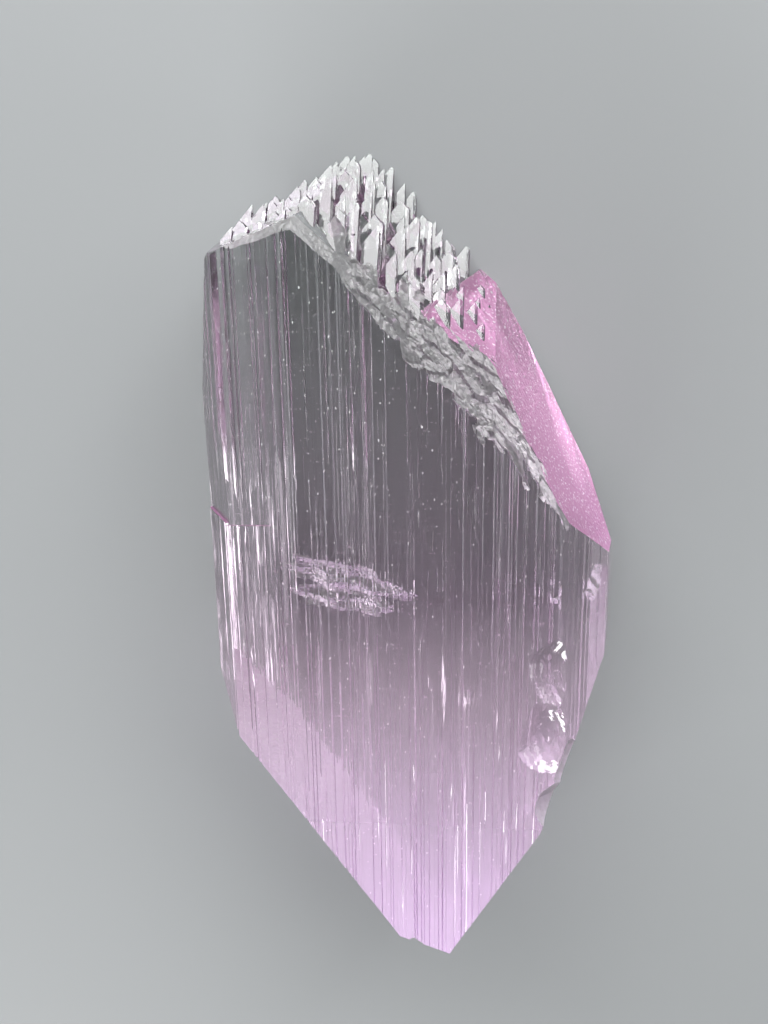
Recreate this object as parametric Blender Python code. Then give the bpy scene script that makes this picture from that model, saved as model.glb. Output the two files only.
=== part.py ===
"""A kunzite crystal: one flattened, striated prism that lies on its broad back face.

Lengths below are in millimetres in the crystal's own growth frame: X across the broad faces,
Y up the crystal, along the striations, and Z out of the front face. The back face is Z = 0.
The finished mesh is in metres, with its origin at the bottom centre of its box.
"""

import math
import random

import bmesh
import bpy
from mathutils import Matrix, Vector

MM = 0.001
NODE = "kunzite_crystal"

THICKNESS = 25.0
AXIS_IN_BOX = Vector((-2.45, 11.55, 0.0))  # where the growth axis stands from the box's centre
PRISM_TOP = 60.0
PRISM_FOOT = -80.0

# The corners of the prism's cross-section, as (x, z), counter-clockwise from the back face.
BACK_LEFT = (-15.5, 0.0)
BACK_RIGHT = (17.5, 0.0)
RIGHT_LOW = (27.0, 4.8)
RIGHT_MID = (29.9, 12.0)
RIGHT_HIGH = (29.3, 15.5)
FRONT_RIGHT = (22.6, THICKNESS)
FRONT_LEFT = (-20.5, THICKNESS)
LEFT_HIGH = (-24.2, 18.5)
LEFT_MID = (-25.0, 12.0)
LEFT_LOW = (-23.0, 5.0)

# Striations: the pitch and the depth of the grooves that run the whole length of each face.
FRONT_PITCH = 1.15
FRONT_DEPTH = 0.32
BACK_PITCH = 1.7
BACK_DEPTH = 0.3
SIDE_PITCH = 1.9
SIDE_DEPTH = 0.2
RESTING_STRIP = (-4.0, 4.0)  # the part of the back face, in x, that has no groove

# Every face that ends the prism is y = at_axis + per_x * x + per_z * z, keeping what is below
# it at the top of the crystal and what is above it at the foot.
TERMINATION = (37.7, -0.88, -0.436)
FROSTED_END = (49.5, -1.746, -0.428)
UPPER_LEFT = (42.8, 0.388, -0.10)
LEFT_CORNER = (68.9, 1.6, -0.12)
LEFT_SHOULDER = (233.3, 8.4, -0.84)
BASE_CUT = (-56.9, -1.45, -0.22)
TIP = (-63.8, -0.36, 0.0)
RIGHT_FOOT = (-115.0, 3.0, 0.25)
RIGHT_TIP = (-82.0, 1.66, 0.05)

# The lumps that breaks take out, by how finely they are faceted: how uneven their corners are,
# and how far the middle of a facet falls short of the corners.
SMOOTH = 3
BROKEN = 2
FLAT = 1
ROUGHNESS = {SMOOTH: 0.015, BROKEN: 0.06, FLAT: 0.08}
FLATS_FALL_SHORT = {SMOOTH: 0.02, BROKEN: 0.07, FLAT: 0.2}

# The crumbs that broke out of the rough part of the ledge.
CRUMBS = 34
CRUMB_SPAN = (-2.0, 22.5)
CRUMB_SIZE = (0.9, 2.0)
CRUMB_BAND = 4.0  # how far below the unbroken edge they reach, where the ledge is broadest

# The step on the left: a shallow cut in the left front bevel, that runs out upwards.
STEP_MIDDLE = (-22.35, 21.75)  # on the bevel, as (x, z)
STEP_OUTWARD = (-0.869, 0.495)
STEP_DEPTH = 0.4
STEP_ENDS = (-2.2, 10.9)
STEP_THICK = 20.0
STEP_BROAD = 16.0

# The hillocks that grew on the termination: pointed columns along Y, in rows. Their tips reach
# a face of their own, which parts from the termination towards the upper left.
HILLOCK_TIPS = (40.9, -1.06, -0.52)
LEFT_TIPS = (45.2, 0.388, -0.15)
HILLOCK_WIDTH = 2.6
HILLOCK_ROW = 3.6
HILLOCK_DEEP = 5.0
HILLOCK_ROOT = 7.0
SPEAR_FACET = Vector((-0.12, 0.54, 0.83)).normalized()
SHOULDER_FACET = Vector((-0.52, 0.83, 0.18)).normalized()
FLANK_FACET = Vector((0.78, 0.08, 0.62)).normalized()


def height(face, x, z):
    at_axis, per_x, per_z = face
    return at_axis + per_x * x + per_z * z


def new_object(name, mesh_mm, collection):
    """Puts a mesh drawn in the growth frame into the part's frame, in metres."""
    bmesh.ops.recalc_face_normals(mesh_mm, faces=mesh_mm.faces)
    if mesh_mm.calc_volume(signed=True) < 0:
        bmesh.ops.reverse_faces(mesh_mm, faces=mesh_mm.faces)
    mesh_mm.transform(Matrix.Scale(MM, 4) @ Matrix.Translation(AXIS_IN_BOX))
    mesh = bpy.data.meshes.new(name)
    mesh_mm.to_mesh(mesh)
    mesh_mm.free()
    made = bpy.data.objects.new(name, mesh)
    collection.objects.link(made)
    return made


def new_collection(name, helper=False):
    collection = bpy.data.collections.new(name)
    bpy.context.scene.collection.children.link(collection)
    collection.hide_render = helper
    return collection


def striated_edge(start, end, pitch, depth, chance, flat=None):
    """The points from start up to end, with V grooves cut in from the straight edge.

    flat is a span of x that keeps its flat land.
    """
    start = Vector(start)
    end = Vector(end)
    run = end - start
    along = run.normalized()
    inward = Vector((-along.y, along.x))
    points = [start]
    groove_at = pitch * chance.uniform(0.4, 0.7)
    while groove_at < run.length - 0.6 * pitch:
        half = pitch * chance.uniform(0.13, 0.26)
        lean = chance.uniform(-0.6, 0.6) * half
        cut = depth * chance.uniform(0.35, 1.0)
        bottom = start + along * groove_at
        if flat is None or not flat[0] < bottom.x < flat[1]:
            points.append(bottom - along * half)
            points.append(bottom + along * lean + inward * cut)
            points.append(bottom + along * half)
        groove_at += pitch * chance.uniform(0.65, 1.5)
    return points


def section():
    """The striated outline of the prism, seen down the crystal, as (x, z) points."""
    chance = random.Random(11)
    edges = [
        (BACK_LEFT, BACK_RIGHT, BACK_PITCH, BACK_DEPTH, RESTING_STRIP),
        (BACK_RIGHT, RIGHT_LOW, SIDE_PITCH, SIDE_DEPTH, None),
        (RIGHT_LOW, RIGHT_MID, SIDE_PITCH, SIDE_DEPTH, None),
        (RIGHT_MID, RIGHT_HIGH, SIDE_PITCH, SIDE_DEPTH, None),
        (RIGHT_HIGH, FRONT_RIGHT, SIDE_PITCH, SIDE_DEPTH, None),
        (FRONT_RIGHT, FRONT_LEFT, FRONT_PITCH, FRONT_DEPTH, None),
        (FRONT_LEFT, LEFT_HIGH, SIDE_PITCH, SIDE_DEPTH, None),
        (LEFT_HIGH, LEFT_MID, SIDE_PITCH, SIDE_DEPTH, None),
        (LEFT_MID, LEFT_LOW, SIDE_PITCH, SIDE_DEPTH, None),
        (LEFT_LOW, BACK_LEFT, SIDE_PITCH, SIDE_DEPTH, None),
    ]
    outline = []
    for start, end, pitch, depth, flat in edges:
        outline += striated_edge(start, end, pitch, depth, chance, flat)
    return outline


def prism():
    """The section drawn as a flat curve, extruded along the crystal and turned to lie along Y."""
    outline = section()
    curve = bpy.data.curves.new("section", "CURVE")
    curve.dimensions = "2D"
    curve.fill_mode = "BOTH"
    curve.extrude = (PRISM_TOP - PRISM_FOOT) / 2
    spline = curve.splines.new("POLY")
    spline.points.add(len(outline) - 1)
    for point, (x, z) in zip(spline.points, outline):
        point.co = (x, z, 0.0, 1.0)
    spline.use_cyclic_u = True
    drawn = bpy.data.objects.new("section", curve)
    bpy.context.scene.collection.objects.link(drawn)
    graph = bpy.context.evaluated_depsgraph_get()
    solid = bmesh.new()
    extruded = bpy.data.meshes.new_from_object(drawn.evaluated_get(graph))
    solid.from_mesh(extruded)
    bpy.data.meshes.remove(extruded)
    bpy.data.objects.remove(drawn)
    bmesh.ops.remove_doubles(solid, verts=solid.verts, dist=1e-4)
    lie_along_y = Matrix.Rotation(math.radians(90), 4, "X")
    to_middle = Matrix.Translation((0.0, (PRISM_TOP + PRISM_FOOT) / 2, 0.0))
    solid.transform(to_middle @ lie_along_y)
    return solid


def cut_flat(solid, point, normal):
    """Takes away what lies beyond a plane, and closes the solid with one flat face."""
    everything = solid.verts[:] + solid.edges[:] + solid.faces[:]
    bmesh.ops.bisect_plane(
        solid, geom=everything, dist=1e-5, plane_co=point, plane_no=normal, clear_outer=True
    )
    rim = [edge for edge in solid.edges if edge.is_boundary]
    if rim:
        bmesh.ops.holes_fill(solid, edges=rim)


def cut_to_face(solid, face, top):
    at_axis, per_x, per_z = face
    outward = Vector((-per_x, 1.0, -per_z)) * (1 if top else -1)
    cut_flat(solid, Vector((0.0, at_axis, 0.0)), outward)


def crystal_body(collection):
    solid = prism()
    for face in (TERMINATION, FROSTED_END, UPPER_LEFT, LEFT_CORNER, LEFT_SHOULDER):
        cut_to_face(solid, face, top=True)
    for face in (BASE_CUT, TIP, RIGHT_FOOT, RIGHT_TIP):
        cut_to_face(solid, face, top=False)
    bmesh.ops.triangulate(solid, faces=solid.faces)
    return new_object(NODE, solid, collection)


def hillock(name, apex, width, chance, collection):
    """A column along Y whose top is a long spear facet, a left shoulder and a right flank."""
    solid = bmesh.new()
    bmesh.ops.create_cube(solid, size=1.0)
    size = Vector((width, HILLOCK_ROOT, HILLOCK_DEEP))
    bmesh.ops.scale(solid, vec=size, verts=solid.verts)
    middle = apex + Vector((-0.1 * width, 1.0 - size.y / 2, size.z / 2 - 0.3))
    bmesh.ops.translate(solid, vec=middle, verts=solid.verts)
    wobble = Vector([chance.uniform(-0.05, 0.05) for _ in range(3)])
    cut_flat(solid, apex, SPEAR_FACET + wobble)
    cut_flat(solid, apex + Vector((-0.1 * width, 0.0, 0.0)), SHOULDER_FACET + wobble)
    cut_flat(solid, apex + Vector((0.3 * width, 0.0, 0.0)), FLANK_FACET + wobble)
    cut_flat(solid, Vector((0.0, 0.0, 0.4)), Vector((0.0, 0.0, -1.0)))
    cut_flat(solid, Vector((0.0, 0.0, THICKNESS - 0.6)), Vector((0.0, 0.0, 1.0)))
    bmesh.ops.triangulate(solid, faces=solid.faces)
    return new_object(name, solid, collection)


def hillocks(collection):
    """Rows of hillocks over the termination and the upper left face, lower towards the right."""
    chance = random.Random(5)
    count = 0
    z = 0.9
    while z < THICKNESS - 4.0:
        x = -20.0 + 9.0 * max(0.0, 1.0 - z / 6.0) + chance.uniform(0.0, 1.0)
        while x < 13.0 + 0.1 * z:
            width = HILLOCK_WIDTH * chance.uniform(0.75, 1.25)
            at_z = z + chance.uniform(-0.6, 1.4)
            tip = min(height(HILLOCK_TIPS, x, at_z), height(LEFT_TIPS, x, at_z))
            sunk = chance.uniform(0.0, 1.0)
            apex = Vector((x, tip - sunk, at_z))
            hillock(f"hillock_{count:03d}", apex, width, chance, collection)
            count += 1
            x += width * 0.8
        z += HILLOCK_ROW * chance.uniform(0.85, 1.1)


def broken_lump(name, place, radii, seed, collection, facets):
    """A rough convex lump: what a conchoidal break takes out of the crystal."""
    chance = random.Random(seed)
    rough = ROUGHNESS[facets]
    solid = bmesh.new()
    bmesh.ops.create_icosphere(solid, subdivisions=facets, radius=1.0)
    tumble = Matrix.Rotation(chance.uniform(0.0, math.tau), 4, Vector((0.6, 0.3, 0.74)))
    for vert in solid.verts:
        vert.co = tumble @ vert.co * chance.uniform(1.0 - rough, 1.0 + rough)
    solid.transform(place @ Matrix.Diagonal((*radii, 1.0)))
    return new_object(name, solid, collection)


def ledge_point(x):
    """The unbroken front edge of the crystal's upper end, at one x."""
    ends = (TERMINATION, FROSTED_END, UPPER_LEFT)
    return Vector((x, min(height(face, x, THICKNESS) for face in ends), THICKNESS))


def ledge_chip(name, x, bite, along, across, facets, seed, collection):
    """Breaks the front edge at x, bite deep, with a lump that lies along the edge."""
    bite += FLATS_FALL_SHORT[facets] * across
    edge = ledge_point(x)
    run = (ledge_point(x + 0.5) - ledge_point(x - 0.5)).normalized()
    _, per_x, per_z = TERMINATION
    outward = Vector((-per_x, 1.0, -per_z)).normalized() + Vector((0.0, 0.0, 1.0))
    outward = (outward - run * outward.dot(run)).normalized()
    across_edge = outward.cross(run)
    turned = Matrix((run, across_edge, outward)).transposed().to_4x4()
    middle = Matrix.Translation(edge + outward * (across - bite))
    broken_lump(name, middle @ turned, (along, across, across), seed, collection, facets)


def ledge_chips(collection):
    """The chipped ledge along the front edge of the termination, narrow first and then broad."""
    chips = [
        (-18.2, 0.6, 6.0, 5.0, SMOOTH),
        (-16.0, 0.8, 6.0, 5.0, SMOOTH),
        (-13.8, 0.9, 6.0, 5.0, SMOOTH),
        (-11.6, 1.0, 5.0, 5.0, SMOOTH),
        (-9.4, 1.0, 6.0, 5.0, SMOOTH),
        (-7.2, 1.0, 6.0, 5.0, SMOOTH),
        (-5.0, 1.0, 6.0, 5.0, SMOOTH),
        (-2.6, 1.4, 4.4, 5.0, BROKEN),
        (0.2, 1.7, 4.4, 5.0, BROKEN),
        (2.6, 2.3, 4.6, 6.4, FLAT),
        (5.4, 2.6, 4.0, 5.6, FLAT),
        (8.0, 2.9, 4.6, 7.0, FLAT),
        (10.8, 3.0, 3.8, 6.0, FLAT),
        (13.0, 3.6, 4.4, 7.4, FLAT),
        (15.4, 3.2, 3.6, 5.6, FLAT),
        (17.6, 2.4, 3.4, 4.8, BROKEN),
        (19.8, 1.8, 3.2, 4.0, FLAT),
        (21.8, 1.0, 2.6, 2.6, BROKEN),
    ]
    for index, (x, bite, along, across, facets) in enumerate(chips):
        ledge_chip(f"ledge_chip_{index}", x, bite, along, across, facets, 31 + index, collection)


def ledge_crumbs(collection):
    """Small chips that leave the rough part of the ledge uneven."""
    chance = random.Random(44)
    first, last = CRUMB_SPAN
    for index in range(CRUMBS):
        x = chance.uniform(first, last)
        band = CRUMB_BAND * math.sin(math.pi * (x - first + 1.0) / (last - first + 2.0))
        spot = ledge_point(x) + Vector((0.0, -chance.uniform(0.2, 1.0) * band, 0.0))
        size = chance.uniform(*CRUMB_SIZE)
        turned = Matrix.Rotation(chance.uniform(0.0, math.tau), 4, "Z")
        radii = (size, size * chance.uniform(0.6, 1.0), size * chance.uniform(0.4, 0.8))
        place = Matrix.Translation(spot) @ turned
        broken_lump(f"ledge_crumb_{index:02d}", place, radii, 200 + index, collection, FLAT)


def left_step(collection):
    """A block that cuts the left front bevel slantwise, and ends in a step at its foot."""
    solid = bmesh.new()
    bmesh.ops.create_cube(solid, size=1.0)
    first, last = STEP_ENDS
    outward_x, outward_z = STEP_OUTWARD
    reach = (STEP_THICK - STEP_DEPTH) / 2
    middle = (
        STEP_MIDDLE[0] + outward_x * reach, (first + last) / 2, STEP_MIDDLE[1] + outward_z * reach
    )
    lay = Matrix.Rotation(math.atan2(outward_z, -outward_x), 4, "Y")
    slant = Matrix.Rotation(math.atan2(STEP_DEPTH, last - first), 4, "Z")
    block = Matrix.Diagonal((STEP_THICK, last - first, STEP_BROAD, 1.0))
    solid.transform(Matrix.Translation(middle) @ lay @ slant @ block)
    new_object("left_step", solid, collection)


def side_chips(collection):
    """Breaks on the sides: the left notch, and the fractures low on the right."""
    chips = [
        ("left_notch", (-25.6, 8.6, 17.5), (2.2, 1.1, 2.6), 12.0),
        ("front_scoop_0", (22.6, -22.0, 27.6), (4.6, 7.0, 4.4), 14.0),
        ("front_scoop_1", (21.4, -31.5, 27.2), (5.6, 6.0, 4.6), 20.0),
        ("right_scoop_0", (27.4, -36.5, 25.5), (5.2, 5.4, 5.6), 16.0),
        ("right_scoop_1", (24.6, -42.0, 25.2), (4.6, 4.4, 4.8), 24.0),
        ("right_hook", (24.6, -45.6, 15.0), (2.6, 1.5, 6.0), -35.0),
        ("tip_chip", (0.6, -66.4, 22.0), (2.4, 1.6, 5.0), 20.0),
    ]
    for index, (name, middle, radii, turn) in enumerate(chips):
        turned = Matrix.Rotation(math.radians(turn), 4, "Z")
        place = Matrix.Translation(middle) @ turned
        broken_lump(name, place, radii, 71 + index, collection, BROKEN)


def etched_grooves(collection):
    """Stronger grooves on the front face that start and stop part of the way along it."""
    chance = random.Random(23)
    for index in range(16):
        x = chance.uniform(-18.0, 20.0) if index % 2 else chance.uniform(9.0, 21.0)
        length = chance.uniform(16.0, 42.0)
        y = chance.uniform(-38.0, -6.0)
        solid = bmesh.new()
        bmesh.ops.create_cone(
            solid, cap_ends=True, segments=4, radius1=1.0, radius2=0.25, depth=1.0
        )
        flat = Matrix.Diagonal((0.5, 0.62, length, 1.0))
        lay = Matrix.Rotation(math.radians(90), 4, "X")
        solid.transform(Matrix.Translation((x, y, THICKNESS + 0.12)) @ lay @ flat)
        new_object(f"groove_{index:02d}", solid, collection)


def join(body, collection, operation):
    modifier = body.modifiers.new(collection.name, "BOOLEAN")
    modifier.operation = operation
    modifier.operand_type = "COLLECTION"
    modifier.collection = collection
    modifier.solver = "EXACT"


def show_as_wire(collection):
    for helper in collection.objects:
        helper.hide_render = True
        helper.display_type = "WIRE"


def kunzite():
    material = bpy.data.materials.new("kunzite")
    material.use_nodes = True
    shader = material.node_tree.nodes["Principled BSDF"]
    shader.inputs["Base Color"].default_value = (0.86, 0.68, 0.86, 1.0)
    shader.inputs["Roughness"].default_value = 0.06
    shader.inputs["Metallic"].default_value = 0.0
    shader.inputs["IOR"].default_value = 1.665
    shader.inputs["Transmission Weight"].default_value = 1.0
    return material


def main():
    for thing in list(bpy.data.objects):
        bpy.data.objects.remove(thing, do_unlink=True)
    crystal = new_collection("kunzite crystal")
    grown = new_collection("hillocks", helper=True)
    broken = new_collection("breaks", helper=True)
    body = crystal_body(crystal)
    hillocks(grown)
    ledge_chips(broken)
    ledge_crumbs(broken)
    left_step(broken)
    side_chips(broken)
    etched_grooves(broken)
    for helpers in (grown, broken):
        show_as_wire(helpers)
    join(body, grown, "UNION")
    join(body, broken, "DIFFERENCE")
    body.data.materials.append(kunzite())


main()
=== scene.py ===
import math
import random

import bpy
from mathutils import Matrix, Vector, noise


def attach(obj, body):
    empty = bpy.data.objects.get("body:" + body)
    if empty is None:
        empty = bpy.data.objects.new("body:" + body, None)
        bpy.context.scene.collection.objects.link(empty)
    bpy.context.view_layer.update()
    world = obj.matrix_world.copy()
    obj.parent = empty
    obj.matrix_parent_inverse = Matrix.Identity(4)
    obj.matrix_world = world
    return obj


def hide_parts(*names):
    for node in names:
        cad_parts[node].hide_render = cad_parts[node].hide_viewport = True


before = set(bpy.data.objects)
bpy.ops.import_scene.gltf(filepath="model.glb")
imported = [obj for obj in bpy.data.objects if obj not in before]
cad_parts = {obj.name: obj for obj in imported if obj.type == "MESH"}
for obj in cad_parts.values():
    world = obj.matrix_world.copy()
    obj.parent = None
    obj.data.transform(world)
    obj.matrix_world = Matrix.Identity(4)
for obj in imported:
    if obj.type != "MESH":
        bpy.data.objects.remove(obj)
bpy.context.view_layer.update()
bpy.ops.object.select_all(action="DESELECT")
print("frame: loaded")

# The crystal is modelled in millimetres, as it grew: X across the broad faces, Y along the
# striations, Z out of the front face, with the back face on Z = 0. It moves into the frame last.
mm = 0.001
growthAxis = Vector((-2.45, 11.55, 0.0))  # where that drawing's Y axis stands in the frame, in mm
toFrame = Matrix.Scale(mm, 4) @ Matrix.Translation(growthAxis)
thickness = 25.0

# The faces that end the prism, each as y = first + second * x + third * z
termination = (37.7, -0.88, -0.436)
frostedEnd = (49.5, -1.746, -0.428)
upperLeft = (42.8, 0.388, -0.10)
topFaces = [termination, frostedEnd, upperLeft, (68.9, 1.6, -0.12), (233.3, 8.4, -0.84)]
baseCut = (-56.9, -1.45, -0.22)
tip = (-63.8, -0.36, 0.0)
footFaces = [baseCut, tip, (-115.0, 3.0, 0.25), (-82.0, 1.66, 0.05)]

# Which kind of surface a face is, kept as its material index until the finish is painted
grownFace = 0
hillockFace = 1
brokenFace = 2


def clamp(value):
    return min(1.0, max(0.0, value))


def heightOf(face, x, z):
    return face[0] + face[1] * x + face[2] * z


def pick(piece):
    bpy.ops.object.select_all(action="DESELECT")
    piece.select_set(True)
    bpy.context.view_layer.objects.active = piece
    return piece


def sliceOff(point, outward):
    # in edit mode: takes away what lies beyond a plane and closes the cut
    bpy.ops.mesh.select_all(action="SELECT")
    bpy.ops.mesh.bisect(
        plane_co=point, plane_no=Vector(outward).normalized(), use_fill=True, clear_outer=True,
        threshold=0.00001,
    )


def markFaces(piece, kind):
    for index in range(3):
        piece.data.materials.append(markers[index])
    for face in piece.data.polygons:
        face.material_index = kind


def merge(piece, tool, operation):
    pick(piece)
    bpy.ops.object.modifier_add(type="BOOLEAN")
    cut = piece.modifiers[-1]
    cut.operation = operation
    cut.solver = "MANIFOLD"
    cut.object = tool
    bpy.ops.object.modifier_apply(modifier=cut.name)
    bpy.data.objects.remove(tool)


markers = [bpy.data.materials.new(name) for name in ("grown", "hillock", "broken")]

# The striated prism
prism = {
    "corners": [  # (x, z), counter-clockwise from the back face
        (-15.5, 0.0), (17.5, 0.0), (27.0, 4.8), (29.9, 12.0), (29.3, 15.5),
        (22.6, 25.0), (-20.5, 25.0), (-24.2, 18.5), (-25.0, 12.0), (-23.0, 5.0),
    ],
    "pitch": [0.9, 1.3, 1.0, 1.0, 1.1, 0.5, 1.1, 1.2, 1.2, 1.3],  # of the grooves, edge by edge
    "depth": [0.16, 0.12, 0.08, 0.06, 0.06, 0.24, 0.06, 0.07, 0.08, 0.1],
    "strong": 1.9,  # how much deeper the etched grooves are, and how many there are of them
    "strongShare": 0.15,
    "strongShareRight": 0.4,
    "flatStrip": (-4.0, 4.0),  # what the crystal lies on
    "level": 0.05,  # how far the lands between the grooves stand off the face
    "levelLength": 70.0,
    "grooveLength": 46.0,
    "halfWidth": (0.12, 0.3),  # of a groove, in pitches
    "lean": 0.7,  # how far its bottom strays to a side, in half widths
    "gap": (0.6, 1.5),  # from groove to groove, in pitches
    "steady": 0.75,  # how deep a groove is on the whole, and how much that wanders along it
    "wander": 2.6,
    "firstGap": (0.4, 0.7),  # from an edge to its first groove and from its last, in pitches
    "lastGap": 0.7,
    "shallowest": 0.15,
    "phases": 900.0,
    "grooveSeed": 3.1,
    "landSeed": 8.4,
    "landSpread": 0.37,
    "landMean": 0.5,
    "strongRightOf": 9.0,  # on the front face, where strongShareRight holds
    "foot": -70.0,
    "top": 62.0,
    "rings": 84,
    "ringStray": 0.4,  # how far each line of rings wanders, in rings, so that none shows
    "seed": 11,
}
frontEdge = 5  # of the corners' edges
backEdge = 0


def striations():
    chance = random.Random(prism["seed"])
    corners = prism["corners"]
    points = []
    for edge, corner in enumerate(corners):
        start = Vector(corner)
        run = Vector(corners[(edge + 1) % len(corners)]) - start
        along = run.normalized()
        inward = Vector((-along.y, along.x))
        pitch = prism["pitch"][edge]
        points.append({"at": start, "inward": inward, "depth": 0.0, "level": 0.0, "phase": 0.0})
        at = pitch * chance.uniform(*prism["firstGap"])
        while at < run.length - prism["lastGap"] * pitch:
            half = pitch * chance.uniform(*prism["halfWidth"])
            bottom = start + along * at
            onRight = edge == frontEdge and bottom.x > prism["strongRightOf"]
            share = prism["strongShareRight"] if onRight else prism["strongShare"]
            strong = prism["strong"] if chance.random() < share else 1.0
            depth = prism["depth"][edge] * chance.uniform(prism["shallowest"], 1.0) * strong
            phase = chance.uniform(0.0, prism["phases"])
            level = prism["level"]
            if edge == backEdge and prism["flatStrip"][0] < bottom.x < prism["flatStrip"][1]:
                depth = level = 0.0
            lean = chance.uniform(-prism["lean"], prism["lean"]) * half
            for side, share in ((-half, 0.0), (lean, 1.0), (half, 0.0)):
                points.append({
                    "at": bottom + along * side, "inward": inward, "depth": depth * share,
                    "level": level, "phase": phase,
                })
            at += pitch * chance.uniform(*prism["gap"])
    return points


def grooveDepth(point, y):
    if point["depth"] == 0.0:
        return 0.0
    wave = noise.noise(Vector((point["phase"], y / prism["grooveLength"], prism["grooveSeed"])))
    return point["depth"] * clamp(prism["steady"] + prism["wander"] * wave)


def landLevel(index, point, y):
    spot = Vector((index * prism["landSpread"], y / prism["levelLength"], prism["landSeed"]))
    return point["level"] * clamp(prism["landMean"] + noise.noise(spot))


def makePrism():
    points = striations()
    columns = len(points)
    rings = prism["rings"]
    bpy.ops.mesh.primitive_grid_add(x_subdivisions=columns, y_subdivisions=rings, size=1.0)
    crystal = bpy.context.object
    crystal.name = "kunzite_body"
    length = prism["top"] - prism["foot"]
    for vert in crystal.data.vertices:  # the sheet is rolled round into the prism
        index = round((vert.co.x + 0.5) * columns) % columns
        point = points[index]
        y = prism["foot"] + (vert.co.y + 0.5) * length
        if abs(vert.co.y) < 0.49:  # all but the two end rings
            y += prism["ringStray"] * length / rings * math.sin(point["phase"])
        place = point["at"] + point["inward"] * (grooveDepth(point, y) + landLevel(index, point, y))
        vert.co = (place.x, y, place.y)
    bpy.ops.object.mode_set(mode="EDIT")
    bpy.ops.mesh.select_all(action="SELECT")
    bpy.ops.mesh.remove_doubles(threshold=0.0001)
    bpy.ops.mesh.select_all(action="DESELECT")
    bpy.ops.mesh.select_mode(type="EDGE")
    bpy.ops.mesh.select_non_manifold()
    bpy.ops.mesh.edge_face_add()
    bpy.ops.mesh.select_all(action="SELECT")
    bpy.ops.mesh.normals_make_consistent(inside=False)
    for face in topFaces:
        sliceOff((0.0, face[0], 0.0), (-face[1], 1.0, -face[2]))
    for face in footFaces:
        sliceOff((0.0, face[0], 0.0), (face[1], -1.0, face[2]))
    bpy.ops.mesh.select_all(action="SELECT")
    bpy.ops.mesh.quads_convert_to_tris()
    bpy.ops.object.mode_set(mode="OBJECT")
    markFaces(crystal, grownFace)
    return crystal


crystal = makePrism()
print("prism:", len(crystal.data.polygons), "faces")

# The hillocks on the termination: columns along Y that end in one long facet, with a shoulder to
# its left, and to its right a narrow bevel and a steep flank
hillock = {
    "rise": 2.7,  # of the tips over the termination at x = 0, and how fast it falls to the right
    "riseFall": 0.16,
    "mostRise": 3.6,
    "leftTips": (45.2, 0.388, -0.15),
    "topmost": 42.2,  # how high a tip may be, and how much more for each mm of its width
    "topmostByWidth": 0.3,
    "sunk": 1.1,
    "widths": [1.1, 1.4, 1.8, 2.2, 2.7, 3.3],
    "rows": (0.8, 24.0),  # the first row's z, and where they stop
    "row": 3.5,
    "stray": 1.2,  # how far one stands out of its row
    "sides": (-19.5, 12.5),
    "backCorner": (9.0, 6.0),  # how far the rows start inside the back left corner, and up to which z
    "spacing": 1.15,  # from one to the next, in widths
    "spacingSpread": (0.85, 1.2),
    "skyline": 3.0,  # below this z they make the skyline, and stand lower and closer together
    "skylineSunk": 0.5,
    "skylineSpacing": 0.7,
    "skylineSpacingLeft": 0.45,
    "skylineLeft": -4.0,
    "pit": (36.1, -1.0, -0.436),  # the floor between them, up to the right and front edges
    "pitRight": 11.5,
    "pitLean": 0.34,
    "pitFront": 21.5,
    "pitBlock": 60.0,
    "pitMiddle": 40.0,
    "pitBehind": 10.0,
    "deep": 6.5,
    "root": 9.0,
    "over": 1.0,  # how far the uncut column reaches over its apex, and behind it
    "behind": 0.4,
    "spear": Vector((-0.12, 0.54, 0.83)),
    "shoulder": Vector((-0.741, 0.667, 0.083)),
    "rightShoulder": Vector((0.70, 0.70, 0.10)),
    "bevel": Vector((0.42, 0.50, 0.76)),
    "flank": Vector((0.93, 0.20, 0.307)),
    "places": {  # across a hillock, in widths from its apex
        "middle": -0.12, "shoulder": -0.05, "bevel": 0.26, "flank": 0.33, "rightShoulder": 0.05,
    },
    "turnX": 0.04,
    "turnY": 0.05,
    "backmost": 0.4,
    "foremost": 24.4,
    "seed": 5,
}


def makeHillock(width, twoShoulders):
    # modelled with its apex at the origin
    places = hillock["places"]
    bpy.ops.mesh.primitive_cube_add(
        size=1.0, scale=(width, hillock["root"], hillock["deep"]),
        location=(
            places["middle"] * width, hillock["over"] - hillock["root"] / 2,
            hillock["deep"] / 2 - hillock["behind"],
        ),
    )
    model = bpy.context.object
    bpy.ops.object.transform_apply(location=True, rotation=True, scale=True)
    bpy.ops.object.mode_set(mode="EDIT")
    sliceOff((0.0, 0.0, 0.0), hillock["spear"])
    for facet in ("shoulder", "bevel", "flank", "rightShoulder"):
        if facet != "rightShoulder" or twoShoulders:
            sliceOff((places[facet] * width, 0.0, 0.0), hillock[facet])
    bpy.ops.object.mode_set(mode="OBJECT")
    markFaces(model, hillockFace)
    return model


def sinkPit():
    front = hillock["pitFront"]
    right = hillock["pitRight"]
    reach = hillock["pitBlock"]
    behind = hillock["pitBehind"]
    bpy.ops.mesh.primitive_cube_add(
        size=1.0, scale=(reach, reach, front + behind),
        location=(right - reach / 2, hillock["pitMiddle"], (front - behind) / 2),
    )
    block = bpy.context.object
    bpy.ops.object.transform_apply(location=True, rotation=True, scale=True)
    pit = hillock["pit"]
    bpy.ops.object.mode_set(mode="EDIT")
    sliceOff((0.0, pit[0], 0.0), (pit[1], -1.0, pit[2]))
    sliceOff((right, 0.0, 0.0), (1.0, 0.0, hillock["pitLean"]))
    bpy.ops.object.mode_set(mode="OBJECT")
    markFaces(block, hillockFace)
    merge(crystal, block, "DIFFERENCE")


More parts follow.
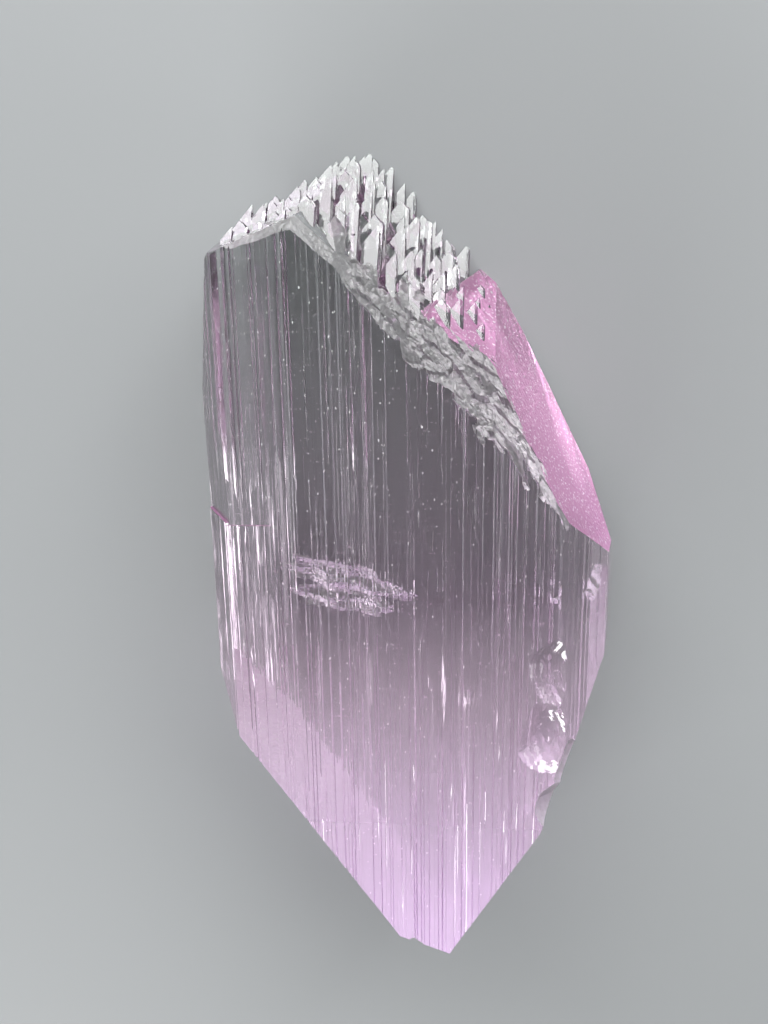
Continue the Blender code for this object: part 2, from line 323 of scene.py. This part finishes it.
def copyHillock(model, apex, turn):
    copy = model.copy()
    copy.data = model.data.copy()
    bpy.context.collection.objects.link(copy)
    copy.data.transform(Matrix.Translation(apex) @ turn)
    return copy


def tipHeight(x, z, inSkyline, width):
    rise = min(hillock["mostRise"], hillock["rise"] - hillock["riseFall"] * x)
    if inSkyline:
        rise -= hillock["skylineSunk"]
    onTermination = heightOf(termination, x, z) + rise
    topmost = hillock["topmost"] + hillock["topmostByWidth"] * width
    return min(onTermination, heightOf(hillock["leftTips"], x, z), topmost)


def spacing(x, inSkyline):
    if not inSkyline:
        return hillock["spacing"]
    return hillock["skylineSpacingLeft" if x < hillock["skylineLeft"] else "skylineSpacing"]


def growRow(models, z, chance):
    row = None
    left, right = hillock["sides"]
    inset, upTo = hillock["backCorner"]
    inSkyline = z < hillock["skyline"]
    x = left + inset * max(0.0, 1.0 - z / upTo) + chance.uniform(0.0, 1.0)
    while x < right:
        index = chance.randrange(len(models))
        width = hillock["widths"][index]
        atZ = max(hillock["rows"][0], z + chance.uniform(-hillock["stray"], hillock["stray"]))
        tipY = tipHeight(x, atZ, inSkyline, width)
        apex = Vector((x, tipY - chance.uniform(0.0, hillock["sunk"]), atZ))
        turn = Matrix.Rotation(chance.uniform(-hillock["turnX"], hillock["turnX"]), 4, "X")
        turn = turn @ Matrix.Rotation(chance.uniform(-hillock["turnY"], hillock["turnY"]), 4, "Y")
        one = copyHillock(models[index], apex, turn)
        if row is None:
            row = one
        else:
            merge(row, one, "UNION")
        x += width * spacing(x, inSkyline) * chance.uniform(*hillock["spacingSpread"])
    return row


def growHillocks():
    chance = random.Random(hillock["seed"])
    models = [makeHillock(width, number % 3 == 2) for number, width in enumerate(hillock["widths"])]
    z, last = hillock["rows"]
    rows = []
    while z < last:
        rows.append(growRow(models, z, chance))
        z += hillock["row"]
    for model in models:
        bpy.data.objects.remove(model)
    for row in rows:
        pick(row)
        bpy.ops.object.mode_set(mode="EDIT")
        sliceOff((0.0, 0.0, hillock["backmost"]), (0.0, 0.0, -1.0))
        sliceOff((0.0, 0.0, hillock["foremost"]), (0.0, 0.0, 1.0))
        bpy.ops.object.mode_set(mode="OBJECT")
        merge(crystal, row, "UNION")


sinkPit()
growHillocks()
print("hillocks:", len(crystal.data.polygons), "faces")

# The breaks
ledge = {
    "bite": [  # how deep the break is at x
        (-19.0, 0.0), (-17.5, 0.5), (-11.0, 0.75), (-5.5, 0.7), (-4.2, 1.3), (0.0, 1.8), (3.0, 2.7),
        (6.0, 2.1), (9.0, 2.5), (12.5, 3.7), (15.5, 2.9), (18.5, 1.5), (22.0, 0.7), (24.5, 0.0),
    ],
    "roughFrom": -4.6,
    "span": (-20.0, 25.0),
    "across": (-7.0, 7.0),
    "cells": (225, 70),
    "front": Vector((0.0, -0.78, 0.62)),  # across the ledge, down to the front face
    "out": Vector((0.0, 0.62, 0.78)),
    "swell": 0.12,
    "swellAt": (0.45, 0.3),
    "facet": 2.9,  # the size of the flats
    "facetStep": (0.45, 0.8),
    "facetRow": 0.6,
    "facetRows": 4,  # on each side of the edge
    "facetStray": (0.9, 0.5),
    "stand": 0.6,  # how far they stand off each other
    "glint": Vector((0.12, 0.58, 0.80)).normalized(),  # the way about half of them look
    "glintShare": 0.42,
    "glintSpread": 0.12,
    "otherSpread": 0.6,
    "leastSteep": 0.35,
    "tilt": 0.8,
    "lengthPerX": 1.33,  # how long the edge is for each mm of x
    "stretch": 0.6,  # draws the flats out along the edge
    "warp": (0.35, 0.5),
    "fadeIn": (0.2, 0.4),  # how rough it is where it starts, and how much more for each mm
    "byBite": (0.35, 0.35),
    "ripple": 0.035,
    "rippleRate": 11.0,
    "grit": 0.10,
    "gritRate": 2.6,
    "swellSeed": 4.4,
    "warpSeed": 9.0,
    "gritSeed": 1.0,
    "clear": 14.0,
    "seed": 31,
}


def biteAt(x):
    marks = ledge["bite"]
    for (x0, bite0), (x1, bite1) in zip(marks, marks[1:]):
        if x0 <= x <= x1:
            return bite0 + (bite1 - bite0) * (x - x0) / (x1 - x0)
    return -1.0


def ledgePoint(x):
    lowest = min(heightOf(face, x, thickness) for face in (termination, frostedEnd, upperLeft))
    return Vector((x, lowest, thickness))


def anyWay(chance):
    return Vector((chance.gauss(0, 1), chance.gauss(0, 1), chance.gauss(0, 1))).normalized()


def scatterFlats():
    # the flats of the rough part: a middle (x, across), how far it stands off, and its two slopes
    chance = random.Random(ledge["seed"])
    flats = []
    x = ledge["roughFrom"]
    strayX, strayRow = ledge["facetStray"]
    while x < ledge["span"][1]:
        for row in range(-ledge["facetRows"], ledge["facetRows"] + 1):
            atX = x + chance.uniform(-strayX, strayX)
            across = (row + chance.uniform(-strayRow, strayRow)) * ledge["facet"] * ledge["facetRow"]
            run = (ledgePoint(atX + 0.5) - ledgePoint(atX - 0.5)).normalized()
            way = anyWay(chance)
            if chance.random() < ledge["glintShare"]:
                way = (ledge["glint"] + ledge["glintSpread"] * way).normalized()
            else:
                mean = (ledge["glint"] - run * ledge["glint"].dot(run)).normalized()
                way = (mean + ledge["otherSpread"] * way).normalized()
            steep = max(ledge["leastSteep"], way.dot(ledge["out"]))
            stand = chance.uniform(-1, 1) * ledge["stand"]
            slopes = (way.dot(run) / steep, way.dot(ledge["front"]) / steep)
            flats.append(((atX, across), stand, slopes))
        x += ledge["facet"] * chance.uniform(*ledge["facetStep"])
    return flats


def roughness(flats, x, across, wave):
    # how far the rough part stands off its mean at one place
    start, gain = ledge["fadeIn"]
    least, byBite = ledge["byBite"]
    share = min(1.0, start + gain * (x - ledge["roughFrom"])) * min(1.0, least + byBite * biteAt(x))
    warpX, warpAcross = ledge["warp"]
    spotX = x + warpX * wave
    spotAcross = across + warpAcross * noise.noise(Vector((x, across, ledge["warpSeed"])))

    def distance(one):
        (flatX, flatAcross), _, _ = one
        return (ledge["stretch"] * (flatX - spotX)) ** 2 + (flatAcross - spotAcross) ** 2

    (flatX, flatAcross), stand, (slopeX, slopeAcross) = min(flats, key=distance)
    tilt = -slopeX * (x - flatX) * ledge["lengthPerX"] - slopeAcross * (across - flatAcross)
    fromMiddle = math.hypot(x - flatX, across - flatAcross)
    height = stand + ledge["tilt"] * tilt + ledge["ripple"] * math.sin(ledge["rippleRate"] * fromMiddle)
    rate = ledge["gritRate"]
    grit = noise.noise(Vector((x * rate, across * rate, ledge["gritSeed"])))
    return share * (height + ledge["grit"] * grit)


def breakLedge():
    # the break is one uneven sheet, thickened outwards and taken away from the crystal
    flats = scatterFlats()
    columns, rows = ledge["cells"]
    bpy.ops.mesh.primitive_grid_add(x_subdivisions=columns, y_subdivisions=rows, size=1.0)
    cutter = bpy.context.object
    first, last = ledge["span"]
    near, far = ledge["across"]
    rateX, rateAcross = ledge["swellAt"]
    for vert in cutter.data.vertices:
        x = first + (vert.co.x + 0.5) * (last - first)
        across = near + (vert.co.y + 0.5) * (far - near)
        wave = noise.noise(Vector((x * rateX, across * rateAcross, ledge["swellSeed"])))
        height = ledge["swell"] * wave - biteAt(x)
        if x > ledge["roughFrom"]:
            height += roughness(flats, x, across, wave)
        vert.co = ledgePoint(x) + ledge["front"] * across + ledge["out"] * height
    bpy.ops.object.mode_set(mode="EDIT")
    bpy.ops.mesh.select_all(action="SELECT")
    bpy.ops.mesh.extrude_region_move(TRANSFORM_OT_translate={"value": ledge["out"] * ledge["clear"]})
    bpy.ops.mesh.select_all(action="SELECT")
    bpy.ops.mesh.normals_make_consistent(inside=False)
    bpy.ops.mesh.quads_convert_to_tris()
    bpy.ops.object.mode_set(mode="OBJECT")
    markFaces(cutter, brokenFace)
    merge(crystal, cutter, "DIFFERENCE")


breakLedge()
print("ledge:", len(crystal.data.polygons), "faces")


lump = {
    "ripples": 26.0,
    "ripple": 0.010,
    "swell": 0.05,
    "swellRate": 1.7,
    "flatAt": (0.72, 0.93),  # how far out a flat is cut, as a share of the lump's reach that way
    "seed": 71,
}
sideBreaks = [  # middle, radii, turn about Z in degrees, flats, kind
    ((-25.6, 8.6, 17.5), (2.2, 1.1, 2.6), 12.0, 6, brokenFace),
    ((22.6, -22.0, 27.6), (4.6, 7.0, 4.4), 14.0, 2, grownFace),
    ((21.4, -31.5, 27.2), (5.6, 6.0, 4.6), 20.0, 2, grownFace),
    ((27.4, -36.5, 25.5), (5.2, 5.4, 5.6), 16.0, 4, brokenFace),
    ((24.6, -42.0, 25.2), (4.6, 4.4, 4.8), 24.0, 4, brokenFace),
    ((24.6, -45.6, 15.0), (2.6, 1.5, 6.0), -35.0, 6, brokenFace),
    ((0.6, -66.4, 22.0), (2.4, 1.6, 5.0), 20.0, 6, brokenFace),
    ((-4.4, -62.9, 25.2), (1.5, 1.1, 1.7), 10.0, 4, brokenFace),
    ((3.4, -65.6, 25.4), (1.3, 1.2, 1.6), -20.0, 4, brokenFace),
]


def makeLump(place, radii, flats, seed, kind):
    # what a break takes out: a rippled ball, cut flat in places
    chance = random.Random(seed)
    bpy.ops.mesh.primitive_ico_sphere_add(subdivisions=5, radius=1.0)
    ball = bpy.context.object
    pole = Vector((chance.uniform(-1, 1), chance.uniform(-1, 1), chance.uniform(-1, 1))).normalized()
    for vert in ball.data.vertices:
        fromPole = math.acos(max(-1.0, min(1.0, vert.co.normalized().dot(pole))))
        swell = noise.noise(vert.co * lump["swellRate"] + Vector((seed, 0.0, 0.0)))
        vert.co *= 1.0 + lump["ripple"] * math.sin(lump["ripples"] * fromPole) + lump["swell"] * swell
    shape = place @ Matrix.Diagonal((*radii, 1.0))
    ball.data.transform(shape)
    reach = shape.to_3x3().transposed()
    bpy.ops.object.mode_set(mode="EDIT")
    for _ in range(flats):
        way = anyWay(chance)
        far = (reach @ way).length * chance.uniform(*lump["flatAt"])
        sliceOff(place.translation + way * far, way)
    bpy.ops.object.mode_set(mode="OBJECT")
    markFaces(ball, kind)
    return ball


for index, (middle, radii, turn, flats, kind) in enumerate(sideBreaks):
    place = Matrix.Translation(middle) @ Matrix.Rotation(math.radians(turn), 4, "Z")
    merge(crystal, makeLump(place, radii, flats, lump["seed"] + index, kind), "DIFFERENCE")
print("side breaks:", len(crystal.data.polygons), "faces")

step = {  # a shallow cut in the left front bevel, that runs out upwards and ends in a step
    "middle": (-22.35, 21.75),
    "outward": (-0.869, 0.495),
    "depth": 0.4,
    "ends": (-2.2, 10.9),
    "broad": 16.0,
    "thick": 20.0,
}


def cutStep():
    reach = (step["thick"] - step["depth"]) / 2
    first, last = step["ends"]
    outwardX, outwardZ = step["outward"]
    middle = (
        step["middle"][0] + outwardX * reach, (first + last) / 2, step["middle"][1] + outwardZ * reach
    )
    lay = Matrix.Rotation(math.atan2(outwardZ, -outwardX), 4, "Y")
    slant = Matrix.Rotation(math.atan2(step["depth"], last - first), 4, "Z")
    bpy.ops.mesh.primitive_cube_add(size=1.0)
    block = bpy.context.object
    size = Matrix.Diagonal((step["thick"], last - first, step["broad"], 1.0))
    block.data.transform(Matrix.Translation(middle) @ lay @ slant @ size)
    markFaces(block, grownFace)
    merge(crystal, block, "DIFFERENCE")


cutStep()

lip = {"sides": (-26.0, -14.6), "ends": (-2.2, 4.5), "depth": 0.2, "thick": 4.0}


def cutLip():
    # the step goes on a little way over the front face, in a cut that runs out upwards
    left, right = lip["sides"]
    first, last = lip["ends"]
    bpy.ops.mesh.primitive_cube_add(
        size=1.0, scale=(right - left, last - first, lip["thick"]),
        location=(
            (left + right) / 2, (first + last) / 2, thickness + (lip["thick"] - lip["depth"]) / 2,
        ),
        rotation=(math.atan2(lip["depth"], last - first), 0.0, 0.0),
    )
    block = bpy.context.object
    bpy.ops.object.transform_apply(location=True, rotation=True, scale=True)
    markFaces(block, grownFace)
    merge(crystal, block, "DIFFERENCE")


cutLip()
print("step:", len(crystal.data.polygons), "faces")

veils = [  # thin healed cracks inside: middle, half length and width, turn about Z and X in degrees
    ((-5.5, -10.5, 19.0), (8.5, 2.4), -16.0, 24.0),
    ((-6.0, -14.0, 17.0), (7.0, 1.8), -10.0, 14.0),
    ((25.0, -13.0, 13.5), (1.6, 4.4), -38.0, 30.0),
]
crack = {
    "cells": (96, 24),
    "thin": 0.03,
    "edge": 0.45,  # how ragged its edge is
    "edgeRate": 2.2,
    "wave": 0.8,
    "waveRates": (0.3, 0.6),
    "waveSeed": 5.0,
    "seed": 3.0,
}


def crackInside(middle, halves, turnZ, turnX, seed):
    columns, rows = crack["cells"]
    bpy.ops.mesh.primitive_uv_sphere_add(segments=columns, ring_count=rows, radius=1.0)
    veil = bpy.context.object
    place = Matrix.Translation(middle) @ Matrix.Rotation(math.radians(turnZ), 4, "Z")
    place = place @ Matrix.Rotation(math.radians(turnX), 4, "X")
    rate = crack["edgeRate"]
    rateX, rateY = crack["waveRates"]
    for vert in veil.data.vertices:
        ragged = noise.noise(Vector((vert.co.x * rate, vert.co.y * rate, seed)))
        flat = Vector((vert.co.x * halves[0], vert.co.y * halves[1], 0.0))
        flat *= 1.0 + crack["edge"] * ragged
        wave = noise.noise(Vector((flat.x * rateX, flat.y * rateY, seed + crack["waveSeed"])))
        vert.co = place @ (flat + Vector((0.0, 0.0, crack["wave"] * wave + crack["thin"] * vert.co.z)))
    markFaces(veil, brokenFace)
    merge(crystal, veil, "DIFFERENCE")


for index, (middle, halves, turnZ, turnX) in enumerate(veils):
    crackInside(middle, halves, turnZ, turnX, crack["seed"] + index)
print("veils:", len(crystal.data.polygons), "faces")

finish = {
    "onFace": 0.03,  # how near a face's plane counts as on it
    "brokenMilky": 0.08,
    "frostMilky": 0.3,
    "footMilky": 0.55,
    "shadeFrom": 0.55,  # how far a hillock's face turns sideways before it takes painted shade
    "shadeGain": 4.0,
    "pinkEdge": 4.0,  # how far left of the pit's right edge the pink begins, and how softly
    "pinkFade": 5.0,
    "stepReach": 0.6,  # how near the step's line a face is frosted, across and along the crystal
    "stepNear": 0.3,
    "stepFacing": 0.9,
}


def isOn(face, spot):
    return abs(spot.y - heightOf(face, spot.x, spot.z)) < finish["onFace"]


def paintFinish(piece):
    # frosted: 0 for a clear face, 1 for a frosted one. broken: 1 for a fresh break. shaded: how
    # much painted shade a face takes, dark mauve on the pit floor between the hillocks and on their
    # sideways faces. milky: how little light it lets through
    mesh = piece.data
    names = ("frosted", "broken", "shaded", "milky")
    for name in names:
        mesh.attributes.new(name, "FLOAT", "FACE")
    frosted, broken, shaded, milky = [mesh.attributes[name].data for name in names]
    for face in mesh.polygons:
        index = face.index
        spot = face.center
        if face.material_index == brokenFace:
            broken[index].value = 1.0
            milky[index].value = finish["brokenMilky"]
        if face.material_index == hillockFace:
            # painted shade: the pit floor between the hillocks and their sideways faces are darkened
            sideways = finish["shadeGain"] * (abs(face.normal.x) - finish["shadeFrom"])
            shaded[index].value = 1.0 if isOn(hillock["pit"], spot) else clamp(sideways)
        if isOn(termination, spot):
            pinkAt = hillock["pitRight"] - hillock["pitLean"] * spot.z - finish["pinkEdge"]
            frosted[index].value = clamp((spot.x - pinkAt) / finish["pinkFade"])
            milky[index].value = finish["frostMilky"] * frosted[index].value
        if isOn(frostedEnd, spot):
            frosted[index].value = 1.0
            milky[index].value = finish["frostMilky"]
        if isOn(baseCut, spot) or isOn(tip, spot):
            frosted[index].value = 1.0
            milky[index].value = finish["footMilky"]
        onLeft = spot.x < lip["sides"][1] + finish["stepReach"]
        onStep = onLeft and abs(spot.y - step["ends"][0]) < finish["stepNear"]
        if onStep and face.normal.y > finish["stepFacing"]:
            frosted[index].value = 1.0
            milky[index].value = finish["frostMilky"]
        face.material_index = 0
    mesh.materials.clear()


paintFinish(crystal)


kunzite = {
    "ior": 1.665,
    "roughness": (0.02, 0.30),  # of a clear face, and of a frosted or broken one
    "ends": (-0.0555, 0.0549),  # of the crystal along Y, in metres
    "colours": [  # of the clear crystal, from the foot to the top
        (0.0, (0.93, 0.72, 1.0, 1.0)), (0.35, (0.93, 0.80, 0.90, 1.0)), (1.0, (0.88, 0.95, 0.90, 1.0)),
    ],
    "frostColours": [(0.3, (0.95, 0.78, 1.0, 1.0)), (0.55, (0.42, 0.14, 0.31, 1.0))],
    # painted shade, put on the pit floor between the hillocks and on their sideways faces
    "paintedShade": (0.22, 0.12, 0.19, 1.0),
    # painted glints: near-white specks on the frosted faces, standing in for light caught by tiny
    # facets
    "paintedGlint": (0.97, 0.93, 0.97, 1.0),
    "speckScale": 2600.0,
    "glintSpecks": (0.62, 0.68),
    "fresh": (0.66, 0.66, 0.65, 1.0),
    "pitScale": 1500.0,
    "pitDepth": 0.0003,
    "streakScale": (3000.0, 45.0, 3000.0),
    "streakDepth": 0.00002,
    "streakStrength": 0.6,
    "glow": 0.46,  # how milky the foot is, and how far up that goes
    "glowUpTo": 0.50,
    "dashScale": (4200.0, 1700.0, 4200.0),
    "dashes": (0.785, 0.82),
    "dashMilky": 0.7,
    "soak": (0.86, 0.60, 0.88, 1.0),
    "soakDensity": 3.0,
}


def makeKunzite():
    material = bpy.data.materials.new("kunzite")
    material.use_nodes = True
    nodes = material.node_tree.nodes
    link = material.node_tree.links.new

    def attribute(name):
        node = nodes.new("ShaderNodeAttribute")
        node.attribute_name = name
        return node.outputs["Fac"]

    def mapped(value, ends, low=0.0, high=1.0):
        node = nodes.new("ShaderNodeMapRange")
        node.inputs["From Min"].default_value = ends[0]
        node.inputs["From Max"].default_value = ends[1]
        node.inputs["To Min"].default_value = low
        node.inputs["To Max"].default_value = high
        link(value, node.inputs["Value"])
        return node.outputs["Result"]

    def ramped(value, stops):
        node = nodes.new("ShaderNodeValToRGB")
        marks = node.color_ramp.elements
        marks[0].position, marks[0].color = stops[0]
        marks[1].position, marks[1].color = stops[-1]
        for position, colour in stops[1:-1]:
            marks.new(position).color = colour
        link(value, node.inputs["Fac"])
        return node.outputs["Color"]

    def combined(operation, first, second):
        node = nodes.new("ShaderNodeMath")
        node.operation = operation
        link(first, node.inputs[0])
        link(second, node.inputs[1])
        return node.outputs["Value"]

    def covered(under, over, amount):
        node = nodes.new("ShaderNodeMix")
        node.data_type = "RGBA"
        link(amount, node.inputs[0])
        link(under, node.inputs[6])
        if isinstance(over, tuple):
            node.inputs[7].default_value = over
        else:
            link(over, node.inputs[7])
        return node.outputs[2]

    def stretched(scale):
        node = nodes.new("ShaderNodeMapping")
        node.inputs["Scale"].default_value = scale
        link(place, node.inputs["Vector"])
        return node.outputs["Vector"]

    def speckled(vector, scale, detail):
        node = nodes.new("ShaderNodeTexNoise")
        node.inputs["Scale"].default_value = scale
        node.inputs["Detail"].default_value = detail
        link(vector, node.inputs["Vector"])
        return node.outputs["Fac"]

    place = nodes.new("ShaderNodeTexCoord").outputs["Object"]
    split = nodes.new("ShaderNodeSeparateXYZ")
    link(place, split.inputs[0])
    along = mapped(split.outputs["Y"], kunzite["ends"])
    frosted = attribute("frosted")
    broken = attribute("broken")

    # colour
    clearColour = ramped(along, kunzite["colours"])
    colour = covered(clearColour, ramped(along, kunzite["frostColours"]), frosted)
    # painted shade on the pit floor between the hillocks and on their sideways faces
    colour = covered(colour, kunzite["paintedShade"], attribute("shaded"))
    # painted glints: near-white specks on the frosted faces
    glintSpecks = mapped(speckled(place, kunzite["speckScale"], 1.0), kunzite["glintSpecks"])
    colour = covered(colour, kunzite["paintedGlint"], combined("MULTIPLY", glintSpecks, frosted))
    colour = covered(colour, kunzite["fresh"], broken)

    # relief
    dull = combined("MAXIMUM", frosted, broken)
    pits = nodes.new("ShaderNodeBump")
    pits.inputs["Distance"].default_value = kunzite["pitDepth"]
    link(speckled(place, kunzite["pitScale"], 3.0), pits.inputs["Height"])
    link(dull, pits.inputs["Strength"])
    streaks = nodes.new("ShaderNodeBump")
    streaks.inputs["Distance"].default_value = kunzite["streakDepth"]
    streaks.inputs["Strength"].default_value = kunzite["streakStrength"]
    link(speckled(stretched(kunzite["streakScale"]), 1.0, 2.0), streaks.inputs["Height"])
    link(pits.outputs["Normal"], streaks.inputs["Normal"])

    # how little light it lets through: the milky faces, the glow at the foot, and small dashes
    glow = mapped(along, (kunzite["glowUpTo"], 0.0), 0.0, kunzite["glow"])
    dashes = speckled(stretched(kunzite["dashScale"]), 1.0, 0.0)
    milky = combined("MAXIMUM", attribute("milky"), glow)
    milky = combined("MAXIMUM", milky, mapped(dashes, kunzite["dashes"], 0.0, kunzite["dashMilky"]))
    clear = nodes.new("ShaderNodeMath")
    clear.operation = "SUBTRACT"
    clear.inputs[0].default_value = 1.0
    link(milky, clear.inputs[1])

    shader = nodes["Principled BSDF"]
    shader.inputs["IOR"].default_value = kunzite["ior"]
    shader.inputs["Transmission Weight"].default_value = 1.0
    link(colour, shader.inputs["Base Color"])
    link(mapped(dull, (0.0, 1.0), *kunzite["roughness"]), shader.inputs["Roughness"])
    link(streaks.outputs["Normal"], shader.inputs["Normal"])
    link(clear.outputs["Value"], shader.inputs["Transmission Weight"])
    soak = nodes.new("ShaderNodeVolumeAbsorption")
    soak.inputs["Color"].default_value = kunzite["soak"]
    soak.inputs["Density"].default_value = kunzite["soakDensity"]
    link(soak.outputs[0], nodes["Material Output"].inputs["Volume"])
    return material


crystal.data.materials.append(makeKunzite())
pick(crystal)
bpy.ops.object.shade_flat()
crystal.data.transform(toFrame)
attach(crystal, "root")
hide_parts("kunzite_crystal")
print("crystal:", len(crystal.data.polygons), "faces")

# The floor
ground = {"size": 12.0, "drop": 0.0001, "colour": (0.25, 0.26, 0.265, 1.0), "roughness": 0.7}
bpy.ops.mesh.primitive_plane_add(size=ground["size"], location=(0.0, 0.0, -ground["drop"]))
floor = bpy.context.object
floor.name = "floor"
paper = bpy.data.materials.new("pale floor")
paper.use_nodes = True
paper.node_tree.nodes["Principled BSDF"].inputs["Base Color"].default_value = ground["colour"]
paper.node_tree.nodes["Principled BSDF"].inputs["Roughness"].default_value = ground["roughness"]
floor.data.materials.append(paper)

# The camera, at the photograph's viewing angle
view = {
    "lens": 40.0,
    "aim": Vector((0.0, 0.0, 25.0)),
    "distance": 144.2,
    "tilt": 18.0,  # from straight above the front face towards the crystal's upper end
    "swing": 6.0,  # to the crystal's right
    "roll": -1.0,
}


def placeCamera():
    tilt = math.radians(view["tilt"])
    swing = math.radians(view["swing"])
    roll = math.radians(view["roll"])
    back = Vector((math.cos(tilt) * math.sin(swing), math.sin(tilt), math.cos(tilt) * math.cos(swing)))
    right = Vector((math.cos(swing), 0.0, -math.sin(swing)))
    up = back.cross(right)
    turnedRight = right * math.cos(roll) + up * math.sin(roll)
    turnedUp = up * math.cos(roll) - right * math.sin(roll)
    eye = toFrame @ (view["aim"] + back * view["distance"])
    bpy.ops.object.camera_add(location=eye)
    camera = bpy.context.object
    facing = Matrix((turnedRight, turnedUp, back)).transposed().to_4x4()
    camera.matrix_world = Matrix.Translation(eye) @ facing
    camera.data.lens = view["lens"]
    camera.data.clip_start = 0.01
    bpy.context.scene.camera = camera


placeCamera()

lights = [  # name, direction from the crystal, distance, width, height, watts
    ("key", Vector((0.0, 0.86, 0.46)), 0.58, 0.90, 0.36, 8.5),
    ("edge", Vector((0.58, 0.48, 0.66)), 0.6, 0.45, 0.30, 1.2),
    ("right", Vector((0.90, -0.31, 0.30)), 0.6, 0.14, 0.30, 0.4),
    ("low", Vector((-0.50, -0.85, 0.34)), 0.6, 0.50, 0.22, 4.5),
]
for name, way, distance, width, height, watts in lights:
    place = way.normalized() * distance
    bpy.ops.object.light_add(type="AREA", location=place)
    lamp = bpy.context.object
    lamp.name = name
    lamp.rotation_euler = way.to_track_quat("Z", "Y").to_euler()
    lamp.data.shape = "RECTANGLE"
    lamp.data.size = width
    lamp.data.size_y = height
    lamp.visible_camera = False
    lamp.data.energy = watts
world = bpy.data.worlds.new("studio")
bpy.context.scene.world = world
world.use_nodes = True
world.node_tree.nodes["Background"].inputs["Color"].default_value = (0.28, 0.29, 0.29, 1.0)
world.node_tree.nodes["Background"].inputs["Strength"].default_value = 1.0
bpy.context.scene.view_settings.view_transform = "Standard"
bpy.context.scene.cycles.max_bounces = 14
bpy.context.scene.cycles.transmission_bounces = 14
print("stage: set")
